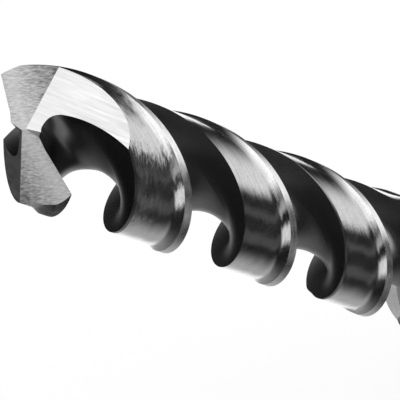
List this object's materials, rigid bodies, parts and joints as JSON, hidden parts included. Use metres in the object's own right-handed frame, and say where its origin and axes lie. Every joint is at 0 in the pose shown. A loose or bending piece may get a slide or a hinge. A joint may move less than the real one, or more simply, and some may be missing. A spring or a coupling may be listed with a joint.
{
  "type": "twist drill bit",
  "caption": "Straight-shank twist drill bit with steep helical flutes, relieved lands with narrow margins, and a split self-centring point.",
  "frame": {"origin": "centre of the flat end of the shank, on the axis of the drill", "axes": "+Z along the axis from the shank end to the point; +X through the outer corner of one land at the height of the corners; +Y completes the right-handed frame"},
  "size_m": [0.013, 0.013, 0.151],
  "materials": {
    "steel": "bright ground high speed steel, with fine grinding marks around the lands and in the flutes"
  },
  "bodies": {
    "root": {"drill_bit": "steel"}
  },
  "joints": []
}
